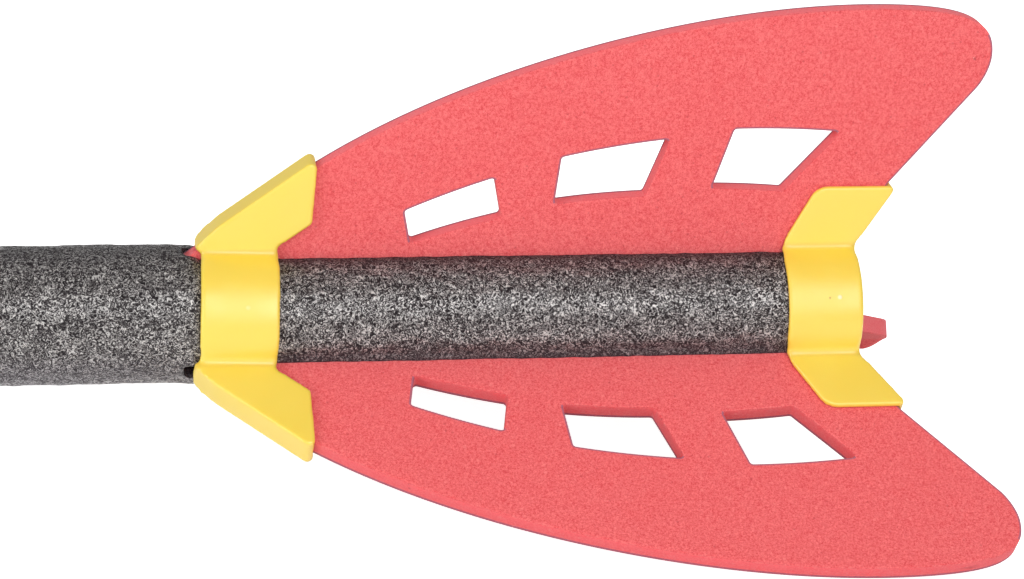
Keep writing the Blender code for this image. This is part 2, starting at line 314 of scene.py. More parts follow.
def grown(outline: list[Point], margin: float) -> list[Point]:
    """The outline moved outwards by a margin on every side, with its sharpest corners cut short."""
    sharpest = 0.3
    points = [Vector(point) for point in outline]
    area = sum(a.cross(b) for a, b in zip(points, points[1:] + points[:1]))
    side = math.copysign(1.0, area)
    moved = []
    for before, point, after in zip(points[-1:] + points[:-1], points, points[1:] + points[:1]):
        first = (point - before).normalized()
        second = (after - point).normalized()
        normal = Vector((first.y, -first.x))
        half = (normal + Vector((second.y, -second.x))).normalized()
        moved.append(point + half * side * margin / max(half.dot(normal), sharpest))
    return lined_up(moved)


# Node trees


class Sheet:
    """Writes nodes into the tree of a material or a group."""

    def __init__(self, tree: Tree) -> None:
        """Takes the tree to write in."""
        self.tree = tree

    def feed(self, node: Node, inputs: dict) -> Node:
        """Feeds a node's inputs.

        Args:
            node: The node.
            inputs: Source sockets to link, or values, by input name or number.

        Returns:
            The same node.
        """
        for name, value in inputs.items():
            socket = node.inputs[name]
            if isinstance(value, Socket):
                self.tree.links.new(value, socket)
            else:
                socket.default_value = (*value, 1.0) if socket.type == "RGBA" else value
        return node

    def add(self, kind: str, inputs: dict | None = None, **settings: object) -> Node:
        """Adds a node of a Blender type, with its inputs and its own settings."""
        node = self.tree.nodes.new(kind)
        for name, value in settings.items():
            setattr(node, name, value)
        return self.feed(node, inputs or {})

    def use(self, group: Tree, **inputs: object) -> dict[str, Socket]:
        """Places a group, with its own values, and gives its outputs."""
        return self.feed(self.add("ShaderNodeGroup", node_tree=group), inputs).outputs

    def math(self, operation: str, first: object, second: object = 0.0, clamp: bool = False) -> Socket:
        """The result of a Math node."""
        inputs = {0: first, 1: second}
        return self.add("ShaderNodeMath", inputs, operation=operation, use_clamp=clamp).outputs[0]

    def times(self, first: object, second: object) -> Socket:
        """The product of two values."""
        return self.math("MULTIPLY", first, second)

    def plus(self, first: object, second: object) -> Socket:
        """The sum of two values."""
        return self.math("ADD", first, second)

    def minus(self, first: object, second: object, clamp: bool = False) -> Socket:
        """The first value less the second."""
        return self.math("SUBTRACT", first, second, clamp)

    def off(self, value: object, middle: float) -> Socket:
        """How far the size of a value lies past a middle one."""
        return self.minus(self.math("ABSOLUTE", value), middle)

    def largest(self, values: list[Socket]) -> Socket:
        """The largest of several values."""
        return reduce(lambda first, second: self.math("MAXIMUM", first, second), values)

    def remap(self, value: object, low: float, high: float, to_low: float = 0, to_high: float = 1) -> Socket:
        """A value brought smoothly from one range to another."""
        inputs = {"Value": value, "From Min": low, "From Max": high, "To Min": to_low, "To Max": to_high}
        return self.add("ShaderNodeMapRange", inputs, interpolation_type="SMOOTHSTEP").outputs["Result"]

    def mix(self, share: object, first: object, second: object, blend: str = "MIX") -> Socket:
        """The colour between two colours."""
        inputs = {0: share, 6: first, 7: second}
        return self.add("ShaderNodeMix", inputs, data_type="RGBA", blend_type=blend).outputs[2]

    def laid(self, tone: object, *layers: tuple[Socket, float, Colour]) -> Socket:
        """A tone under layers of colour, each with its mask and its strength."""
        for mask, strength, colour in layers:
            tone = self.mix(self.times(mask, strength), tone, colour)
        return tone

    def ramp(self, value: object, stops: tuple[tuple[float, Colour], ...]) -> Socket:
        """The colour that a value has on a scale of colours."""
        node = self.add("ShaderNodeValToRGB", {"Fac": value})
        places = node.color_ramp.elements
        places[0].position, places[-1].position = stops[0][0], stops[-1][0]
        marks = [places[0], *[places.new(place) for place, _ in stops[1:-1]]]
        for mark, (_, colour) in zip([*places], stops):
            mark.color = (*colour, 1.0)
        return node.outputs["Color"]

    def noise(self, vector: object, scale: object, detail: float, rough: float, swirl: float = 0.0) -> Socket:
        """The value of a Noise texture."""
        inputs = {"Vector": vector, "Scale": scale, "Detail": detail, "Roughness": rough, "Distortion": swirl}
        return self.add("ShaderNodeTexNoise", inputs).outputs[0]

    def bump(self, height: object, distance: float) -> Socket:
        """The normal that a height gives."""
        return self.add("ShaderNodeBump", {"Height": height, "Distance": distance}).outputs["Normal"]

    def place(self, at: Point3 = (0, 0, 0), turn: Point3 = (0, 0, 0), size: Point3 = (1, 1, 1)) -> Socket:
        """Object coordinates as seen from a frame that stands at a place, turned and stretched."""
        coordinates = self.add("ShaderNodeTexCoord").outputs["Object"]
        inputs = {"Vector": coordinates, "Location": at, "Rotation": turn, "Scale": size}
        return self.add("ShaderNodeMapping", inputs, vector_type="TEXTURE").outputs[0]

    def axes(self, vector: Socket) -> dict[str, Socket]:
        """A vector's X, Y and Z."""
        return self.add("ShaderNodeSeparateXYZ", {"Vector": vector}).outputs

    def beside(self, fin: FinPlace) -> dict[str, Socket]:
        """X along the axis, Y across a fin and Z out along it."""
        return self.axes(self.place(turn=tuple(fin.turn.to_euler())))


# Effects that several finishes share


class Effects:
    """The shader node groups, each built once."""

    def __init__(self) -> None:
        """Builds every group."""
        self.grain = self._grain()
        self.flecks = self._flecks()
        self.drift = self._drift()
        self.mark = self._mark()

    @staticmethod
    def _group(name: str, inputs: dict[str, float], outputs: list[str]) -> tuple[Sheet, dict, Node]:
        """Starts a group.

        Args:
            name: The group's name.
            inputs: Its number inputs with their usual values; a Vector input comes first.
            outputs: The names of its number outputs.

        Returns:
            The sheet to write in, the inputs' sockets, and the node that takes the outputs.
        """
        tree = bpy.data.node_groups.new(name, "ShaderNodeTree")
        tree.interface.new_socket("Vector", in_out="INPUT", socket_type="NodeSocketVector")
        for label, value in inputs.items():
            socket = tree.interface.new_socket(label, in_out="INPUT", socket_type="NodeSocketFloat")
            socket.default_value = value
        for label in outputs:
            tree.interface.new_socket(label, in_out="OUTPUT", socket_type="NodeSocketFloat")
        sheet = Sheet(tree)
        return sheet, sheet.add("NodeGroupInput").outputs, sheet.add("NodeGroupOutput")

    def _grain(self) -> Tree:
        """Fine irregular grain at two scales."""
        finer, share = 2.3, 0.6
        sheet, given, result = self._group("foam grain", {"Size": 0.001}, ["Shade", "Height"])
        scale = sheet.math("DIVIDE", 1.0, given["Size"])
        coarse = sheet.noise(given["Vector"], scale, detail=3.0, rough=0.7)
        fine = sheet.noise(given["Vector"], sheet.times(scale, finer), detail=1.0, rough=0.5)
        both = sheet.plus(sheet.times(coarse, share), sheet.times(fine, 1 - share))
        sheet.feed(result, {"Shade": sheet.remap(both, low=0.3, high=0.7), "Height": both})
        return sheet.tree

    def _flecks(self) -> Tree:
        """Scattered round flecks, each with its own size."""
        inputs = {"Spacing": 0.004, "Size": 0.0006, "Share": 0.5}
        sheet, given, result = self._group("scattered flecks", inputs, ["Mask"])
        scale = sheet.math("DIVIDE", 1.0, given["Spacing"])
        cells = sheet.add("ShaderNodeTexVoronoi", {"Vector": given["Vector"], "Scale": scale}).outputs
        channels = sheet.add("ShaderNodeSeparateColor", {"Color": cells["Color"]}).outputs
        kept = sheet.math("LESS_THAN", channels[0], given["Share"])
        size = sheet.times(sheet.times(given["Size"], scale), channels[1])
        near = sheet.minus(1.0, sheet.math("DIVIDE", cells["Distance"], size), clamp=True)
        sheet.feed(result, {"Mask": sheet.times(sheet.remap(near, low=0.0, high=0.5), kept)})
        return sheet.tree

    def _drift(self) -> Tree:
        """Soft uneven patches, such as handling leaves."""
        sheet, given, result = self._group("soft drift", {"Size": 0.03}, ["Mask"])
        scale = sheet.math("DIVIDE", 1.0, given["Size"])
        waves = sheet.noise(given["Vector"], scale, detail=3.0, rough=0.6)
        sheet.feed(result, {"Mask": sheet.remap(waves, low=0.35, high=0.65)})
        return sheet.tree

    def _mark(self) -> Tree:
        """One broken-up mark round the frame's origin, one unit across each way."""
        sheet, given, result = self._group("single mark", {"Break": 0.5}, ["Mask"])
        far = sheet.add("ShaderNodeVectorMath", {0: given["Vector"]}, operation="LENGTH").outputs["Value"]
        waves = sheet.noise(given["Vector"], scale=5.0, detail=3.0, rough=0.7)
        ragged = sheet.plus(far, sheet.times(waves, given["Break"]))
        sheet.feed(result, {"Mask": sheet.remap(ragged, low=1.0, high=0.35)})
        return sheet.tree


# Finishes


def started(name: str) -> tuple[Material, Sheet, Node]:
    """A new material, the sheet of its tree and its Principled BSDF."""
    material = bpy.data.materials.new(name)
    material.use_nodes = True
    tree = material.node_tree
    return material, Sheet(tree), tree.nodes["Principled BSDF"]


@dataclass(frozen=True)
class FoamSkin:
    """Extruded closed-cell foam: a dark skin of small ridges and pits, whose brightest tones are painted
    glints, with a painted contact shadow where a fin enters, painted shade beside the fins and towards the
    silhouette, and a painted purple bounce tint towards the bottom.

    Its roughness is a range of the ridges' height, then the roughness at that range's ends.
    """

    name: str = "charcoal foam skin"
    # The ramp's dark stops are the foam's own pits and skin; its two brightest stops are painted glints,
    # light off the cell walls put into the colour.
    tones_with_painted_glints: tuple = (
        (0.400, (0.009, 0.006, 0.008)),
        (0.457, (0.036, 0.028, 0.031)),
        (0.500, (0.082, 0.069, 0.071)),
        (0.535, (0.170, 0.151, 0.148)),
        (0.570, (0.400, 0.375, 0.360)),
        (0.595, (0.760, 0.725, 0.700)),
    )
    # Colour and strength of the painted contact shadow along the fins' slots.
    gap: Colour = (0.016, 0.011, 0.013)
    slot_shadow_share: float = 0.85
    # Colour of the painted shade towards the silhouette and beside the fins.
    pit_and_painted_shade: Colour = (0.030, 0.022, 0.027)
    # Painted bounce light towards the bottom: a purple tint, the dull grey the tone is pulled towards, how
    # far, and from what height down.
    tint: Colour = (1.01, 0.88, 1.02)
    dull: Colour = (0.118, 0.102, 0.116)
    dull_share: float = 0.42
    dull_height: float = -0.024
    # Strength of the painted shade towards the silhouette, then the reach, length and strength of the painted
    # shade beside the fins, and how far it dims the coat.
    shade: float = 0.50
    corner_width: float = 0.0095
    corner_length: float = 0.03
    corner_shade: float = 0.55
    corner_glint: float = 0.35
    cell: float = 0.0016
    swirl: float = 2.3
    blotch: float = 0.006
    blotch_share: float = 0.02
    relief: float = 0.0016
    grazing: Point = (0.08, 0.55)
    glints: Point = (0.465, 0.555)
    roughness: tuple = (0.42, 0.60, 0.70, 0.45)
    fin_half: float = 0.00375
    fin_nose: float = -0.2575
    # Width of the painted contact shadow beside a slot, and how its edge wobbles.
    slot_shadow_width: float = 0.0011
    ragged_scale: float = 0.7
    ragged_reach: float = 3.0

    def slot_shadow_mask(self, sheet: Sheet, fin: FinPlace, ragged: Socket) -> Socket:
        """Mask of the painted contact shadow, a ragged dark line along one fin's slot."""
        axes = sheet.beside(fin)
        near = sheet.remap(sheet.plus(sheet.off(axes["Y"], self.fin_half), ragged), self.slot_shadow_width, 0.0)
        behind = sheet.math("GREATER_THAN", axes["X"], self.fin_nose)
        return sheet.times(near, sheet.times(sheet.math("GREATER_THAN", axes["Z"], 0.0), behind))

    def corner(self, sheet: Sheet, fin: FinPlace) -> Socket:
        """Mask of the painted shade beside one fin, behind the front collar, in the corner between the fin
        and the tube.
        """
        axes = sheet.beside(fin)
        side = sheet.math("ABSOLUTE", axes["Y"])
        near = sheet.remap(side, self.fin_half + self.corner_width, self.fin_half)
        behind = sheet.remap(axes["X"], self.fin_nose, self.fin_nose + self.corner_length)
        return sheet.times(near, sheet.times(sheet.math("GREATER_THAN", axes["Z"], 0.0), behind))

    def material(self, effects: Effects) -> Material:
        """Builds the material."""
        material, sheet, shader = started(self.name)
        spot = sheet.place()
        ridges = sheet.noise(spot, 1 / self.cell, detail=3.0, rough=0.7, swirl=self.swirl)
        drift = sheet.use(effects.drift, Vector=spot, Size=self.blotch)["Mask"]
        shifted = sheet.plus(ridges, sheet.times(sheet.minus(drift, EVEN), self.blotch_share))
        wave = sheet.noise(spot, self.ragged_scale / self.cell, detail=2.0, rough=0.7)
        ragged = sheet.times(sheet.minus(wave, EVEN), self.ragged_reach * self.slot_shadow_width)
        # Masks of the painted contact shadow along the slots and of the painted shade beside the fins.
        dark = sheet.largest([self.slot_shadow_mask(sheet, fin, ragged) for fin in FinPlace])
        corner = sheet.largest([self.corner(sheet, fin) for fin in FinPlace])
        grazing = sheet.add("ShaderNodeLayerWeight", {"Blend": 0.5}).outputs["Facing"]
        under = sheet.remap(sheet.axes(spot)["Z"], 0.0, self.dull_height)
        # Painted contact shadow along the slots, laid over the tone ramp.
        tone = sheet.laid(sheet.ramp(shifted, self.tones_with_painted_glints), (dark, self.slot_shadow_share, self.gap))
        # Painted shade: darker where the skin is seen at a grazing angle, towards the silhouette.
        tone = sheet.mix(sheet.remap(grazing, *self.grazing, 0.0, self.shade), tone, self.pit_and_painted_shade)
        # Painted shade in the corners beside the fins, behind the front collar.
        tone = sheet.laid(tone, (corner, self.corner_shade, self.pit_and_painted_shade))
        # Painted bounce light towards the bottom: a purple tint, then a pull towards dull grey that flattens
        # the painted glints.
        tone = sheet.laid(sheet.mix(under, tone, self.tint, "MULTIPLY"), (under, self.dull_share, self.dull))
        dimmed = sheet.remap(corner, 0.0, 1.0, 1.0, self.corner_glint)
        looks = {
            "Base Color": tone,
            "Specular IOR Level": 0.3,
            "Coat Roughness": 0.36,
            "Coat IOR": 1.9,
            "Coat Weight": sheet.times(sheet.remap(shifted, *self.glints), dimmed),
            "Roughness": sheet.remap(ridges, *self.roughness),
            "Normal": sheet.bump(ridges, self.relief),
        }
        sheet.feed(shader, looks)
        return material


@dataclass(frozen=True)
class SheetFoam:
    """Red foam sheet, finely grained, with pits and pale bubbles."""

    name: str
    base: Colour = (0.85, 0.127, 0.135)
    deep: Colour = (0.70, 0.045, 0.055)
    pale: Colour = (0.98, 0.235, 0.235)
    pit_and_painted_shade: Colour = (0.48, 0.025, 0.035)
    bubble: Colour = (0.97, 0.28, 0.27)
    base_share: float = 0.1
    drift_share: float = 0.04
    streak_share: float = 0.10
    pit_share: float = 0.35
    pit_depth: float = 0.8
    bubble_share: float = 0.4
    grain: float = 0.00085
    relief: float = 0.00012
    roughness: float = 0.72
    rougher: float = 0.12
    gloss: float = 0.35
    scatter: float = 0.3
    depth: float = 0.004
    sheen: float = 0.0
    streak: Point3 = (0.030, 0.0016, 0.0016)
    scuffs: tuple = ()

    def material(self, effects: Effects) -> Material:
        """Builds the material."""
        material, sheet, shader = started(self.name)
        spot = sheet.place()
        grain = sheet.use(effects.grain, Vector=spot, Size=self.grain)
        drift = sheet.use(effects.drift, Vector=spot, Size=0.035)["Mask"]
        pits = sheet.use(effects.flecks, Vector=spot, Spacing=0.0030, Size=0.0007, Share=0.35)["Mask"]
        bubbles = sheet.use(effects.flecks, Vector=spot, Spacing=0.0026, Size=0.0009, Share=0.45)["Mask"]
        streaks = sheet.noise(sheet.place(size=self.streak), 1.0, detail=2.0, rough=0.6)
        along = sheet.remap(streaks, low=0.55, high=0.75)
        layers = [(drift, self.drift_share, self.deep), (along, self.streak_share, self.pale)]
        layers += [(pits, self.pit_share, self.pit_and_painted_shade), (bubbles, self.bubble_share, self.bubble)]
        for at, size, strength, colour in self.scuffs:
            mask = sheet.use(effects.mark, Vector=sheet.place(at, size=size), Break=0.9)["Mask"]
            layers.append((mask, strength, colour))
        tone = sheet.mix(self.base_share, sheet.mix(grain["Shade"], self.deep, self.pale), self.base)
        tone = sheet.laid(tone, *layers)
        dents = sheet.minus(grain["Height"], sheet.times(pits, self.pit_depth))
        looks = {
            "Base Color": tone,
            "Specular IOR Level": self.gloss,
            "Subsurface Weight": self.scatter,
            "Subsurface Radius": (1.0, 0.25, 0.25),
            "Subsurface Scale": self.depth,
            "Sheen Weight": self.sheen,
            "Sheen Roughness": 0.6,
            "Sheen Tint": (1.0, 0.30, 0.33),
            "Roughness": sheet.remap(grain["Shade"], 0.0, 1.0, self.roughness, self.roughness + self.rougher),
            "Normal": sheet.bump(dents, self.relief),
        }
        sheet.feed(shader, looks)
        return material


@dataclass(frozen=True)
class MouldedPlastic:
    """Injection-moulded plastic, softly glossy, with a faint mould texture, handling marks and gate marks."""

    name: str
    base: Colour
    worn: Colour
    worn_share: float = 0.5
    dust: Colour = (0.62, 0.42, 0.10)
    dust_share: float = 0.15
    roughness: float = 0.42
    glossier: float = 0.03
    duller: float = 0.05
    scatter: float = 0.25
    texture: float = 0.0009
    relief: float = 0.000012
    gates: tuple = ()
    gate_share: float = 0.7
    gate_height: float = 6.0
    bloom: float = 0.35
    bloom_tint: Colour = (1.0, 0.86, 0.36)
    # Painted shade in the valleys where the ring meets the pockets' cheeks: its strength, place, width and
    # colour.
    valley_share: float = 0.0
    valley_side: float = 0.00635
    valley_radius: float = 0.0278
    valley_width: float = 0.0018
    valley_core: float = 0.0003
    valley_shade: Colour = (0.80, 0.53, 0.022)

    def valley_mask(self, sheet: Sheet, fin: FinPlace) -> Socket:
        """Mask of the painted shade in the two valleys where the ring meets one pocket's cheeks."""
        axes = sheet.beside(fin)
        across = sheet.math("ABSOLUTE", sheet.off(axes["Y"], self.valley_side))
        out = sheet.math("ABSOLUTE", sheet.minus(axes["Z"], self.valley_radius))
        return sheet.times(*[sheet.remap(far, self.valley_width, self.valley_core) for far in (across, out)])

    def material(self, effects: Effects) -> Material:
        """Builds the material."""
        material, sheet, shader = started(self.name)
        spot = sheet.place()
        drift = sheet.use(effects.drift, Vector=spot, Size=0.018)["Mask"]
        height = sheet.use(effects.grain, Vector=spot, Size=self.texture)["Height"]
        dust = sheet.use(effects.flecks, Vector=spot, Spacing=0.007, Size=0.0014, Share=0.12)["Mask"]
        layers = [(drift, self.worn_share, self.worn), (dust, self.dust_share, self.dust)]
        # Painted shade in the valleys between the ring and the pockets' cheeks.
        if self.valley_share:
            deep = sheet.largest([self.valley_mask(sheet, fin) for fin in FinPlace])
            layers.append((deep, self.valley_share, self.valley_shade))
        for at, radius, colour in self.gates:
            gate = sheet.use(effects.mark, Vector=sheet.place(at, size=(radius,) * 3), Break=0.15)["Mask"]
            layers.append((gate, self.gate_share, colour))
            height = sheet.plus(height, sheet.times(gate, self.gate_height))
        rough = (self.roughness - self.glossier, self.roughness + self.duller)
        looks = {
            "Base Color": sheet.laid(self.base, *layers),
            "Roughness": sheet.remap(drift, 0.0, 1.0, *rough),
            "IOR": 1.6,
            "Specular IOR Level": 1.0,
            "Subsurface Weight": self.scatter,
            "Subsurface Radius": (1.0, 0.7, 0.2),
            "Subsurface Scale": 0.003,
            "Sheen Weight": self.bloom,
            "Sheen Roughness": 0.6,
            "Sheen Tint": self.bloom_tint,
            "Normal": sheet.bump(height, self.relief),
        }
        sheet.feed(shader, looks)
        return material


@dataclass(frozen=True)
class Finishes:
    """The finished materials."""

    foam_skin: Material
    fin_face: Material
    fin_cut: Material
    fin_line: Material
    yellow: Material
    grey: Material


def make_finishes() -> Finishes:
    """Mixes every finish that the rocket needs."""
    effects = Effects()
    gates = (
        ((-0.2323, -0.0241, 0.0133), 0.0014, (0.95, 0.80, 0.25)),
        ((-0.0094, -0.0239, 0.0136), 0.0013, (0.98, 0.90, 0.62)),
        ((-0.0133, -0.0240, 0.0134), 0.0006, (0.45, 0.22, 0.04)),
    )
    dents = (
        ((0.0395, -0.00375, 0.1012), (0.0016, 0.0016, 0.0013), 0.8, (0.28, 0.030, 0.035)),
        ((0.0389, -0.00375, 0.1017), (0.0005, 0.0005, 0.0005), 0.9, (0.95, 0.75, 0.72)),
    )
    scuffs = (((0.0270, -0.1036, -0.0598), (0.0150, 0.0040, 0.0030), 0.65, (0.36, 0.030, 0.038)),)
    # The cut faces' base is paler than the sheet's own: painted light that lifts the cut faces, which turn
    # away from the lamps.
    cut_foam = SheetFoam(
        "cut edge of the red foam",
        base=(0.98, 0.130, 0.145),
        deep=(0.90, 0.090, 0.105),
        pale=(1.00, 0.205, 0.215),
        gloss=0.12,
        scatter=0.8,
        sheen=0.6,
        grain=0.0008,
        relief=0.0003,
        roughness=0.8,
        scuffs=scuffs,
    )
    # A dark purple painted shade line along the fins' far cut edges.
    line = SheetFoam(
        "painted shade line of the red foam",
        base=(0.47, 0.140, 0.195),
        deep=(0.38, 0.105, 0.155),
        pale=(0.57, 0.175, 0.235),
        gloss=0.1,
        scatter=0.0,
        grain=0.0006,
    )
    face = SheetFoam("red foam sheet", scuffs=dents)
    lemon, worn_lemon = (0.965, 0.674, 0.040), (0.970, 0.694, 0.058)
    slate, worn_slate = (0.30, 0.30, 0.31), (0.36, 0.36, 0.36)
    yellow = MouldedPlastic("yellow moulded plastic", lemon, worn_lemon, gates=gates, valley_share=0.6)
    grey = MouldedPlastic("grey extruded plastic", slate, worn_slate, roughness=0.45, bloom=0.0)
    return Finishes(*[kind.material(effects) for kind in (FoamSkin(), face, cut_foam, line, yellow, grey)])


# Sub-assemblies


@dataclass(frozen=True)
class Layout:
    """Sizes that several pieces share."""

    tube_radius: float = 0.026
    tail_radius: float = 0.025
    tube_front: float = -0.735
    tube_rear: float = -0.0015
    bore: float = 0.0113
    core_bore: float = 0.0098
    front_ring: float = -0.2495
    ring_width: float = 0.029
    collar_wall: float = 0.0022
    pocket_fit: float = 0.0004
    block_inset: float = 0.0006
    fin_thickness: float = 0.0075
    fin_nose: float = -0.2553
    fit: float = 0.0003
    leading_angle: float = math.radians(38.3)
    leading_drop: float = 0.0007
    seat_angle: float = math.radians(31.8)
    seat_setback: float = 0.0051

    @property
    def ring_radius(self) -> float:
        """Outer radius of a collar's ring."""
        return self.tail_radius + self.fit + self.collar_wall

    def leading_height(self, x: float) -> float:
        """Distance from the axis of the straight start of the fin's leading edge."""
        return self.tail_radius + (x - self.fin_nose) * math.tan(self.leading_angle) - self.leading_drop

    def seat_place(self, radius: float) -> float:
        """Place along the axis of the fin's seated rear edge, at a distance from the axis."""
        return -self.seat_setback + (radius - self.tail_radius) * math.tan(self.seat_angle)


@dataclass(frozen=True)
class FoamTube:
    """The rough foam tube, squeezed under the collars and slotted for the fins."""

    layout: Layout
    pitch: float = 0.0017
    sides: int = 204
    edge: float = 0.0012
    edge_steps: int = 3
    sharp: float = 50.0
    shoulder: float = 0.0032
    swell: float = 0.00028
    swell_length: float = 0.0065
    pucker: float = 0.00016
    pucker_length: float = 0.0024
    pucker_start: Point3 = (7.0, 3.0, 5.0)
    crease_width: float = 0.0018
    lift: float = 0.0010
    lift_rear: float = -0.246
    lift_run: float = 0.014
    lift_front: float = -0.42
    lift_fade: float = 0.15
    slot_fit: float = 0.0001
    slot_lead: float = 0.0006
    slot_round: float = 0.0024
    slot_steps: int = 4

    def radius_at(self, x: float) -> float:
        """The tube's outer radius at a place along the axis, before its roughness."""
        full, tail = self.layout.tube_radius, self.layout.tail_radius
        share = min(max((self.layout.front_ring - self.layout.fit - x) / self.shoulder, 0.0), 1.0)
        return tail + (full - tail) * math.sqrt(1 - (1 - share) ** 2)

    def profile(self) -> list[Point]:
        """The wall's cut face, from the front's bore to the rear's."""
        front, rear = self.layout.tube_front, self.layout.tube_rear
        length = rear - front - 2 * self.edge
        count = round(length / self.pitch)
        skin = [front + self.edge + length * step / count for step in range(count + 1)]
        start = corner_arc(front, self.radius_at(front), self.edge, self.edge_steps, 1)[:-1]
        end = corner_arc(rear, self.radius_at(rear), self.edge, self.edge_steps)[:-1]
        outer = start + [(x, self.radius_at(x)) for x in skin] + end[::-1]
        return [(front, self.layout.bore), *outer, (rear, self.layout.bore)]

    def roughened(self, place: Vector) -> Vector:
        """A point of the skin, moved in or out by the foam's uneven swelling and its creases at the fins."""
        radial = Vector((0.0, place.y, place.z))
        if radial.length < self.layout.tail_radius - 2 * self.edge:
            return place
        move = self.swell * noise.noise(place / self.swell_length)
        move += self.pucker * noise.noise(place / self.pucker_length + Vector(self.pucker_start))
        if place.x > self.layout.fin_nose - self.slot_lead:
            half = self.layout.fin_thickness / 2 + self.slot_fit
            for fin in FinPlace:
                local = fin.turn.inverted() @ place
                if local.z > 0:
                    gap = (abs(local.y) - half) / self.crease_width
                    move -= fin.crease * math.exp(-gap * gap)
        rise = smooth_step((self.lift_rear - place.x) / self.lift_run)
        rise *= 1 - smooth_step((self.lift_front - place.x) / self.lift_fade)
        return place + radial.normalized() * move + Vector((0.0, 0.0, self.lift * rise))

    def slot(self, fin: FinPlace) -> Object:
        """The helper block that cuts one fin's slot."""
        lead = self.layout.fin_nose - self.slot_lead
        reach = 2 * self.layout.tail_radius
        ring = [(lead, 0.0), (lead, reach), (reach, reach), (reach, 0.0)]
        shape = plate([ring], self.layout.fin_thickness + 2 * self.slot_fit, self.slot_round, self.slot_steps)
        shape.transform(fin.turn)
        return new_object(f"slot_{fin.node}", to_mesh("slot", shape))

    def build(self, finishes: Finishes) -> Object:
        """Makes the tube and dresses it."""
        shape = turned(self.profile(), self.sides, closed=True)
        for vert in shape.verts:
            vert.co = self.roughened(vert.co)
        blank = new_object("tube_blank", to_mesh("tube_blank", shape))
        cutters = [self.slot(fin) for fin in FinPlace]
        cut(blank, cutters)
        mesh = baked(blank, cutters)
        mesh.set_sharp_from_angle(angle=math.radians(self.sharp))
        mesh.materials.clear()
        tube = finished("foam_tube", mesh, [finishes.foam_skin], "foam_charcoal", "body_tube")
        return tube


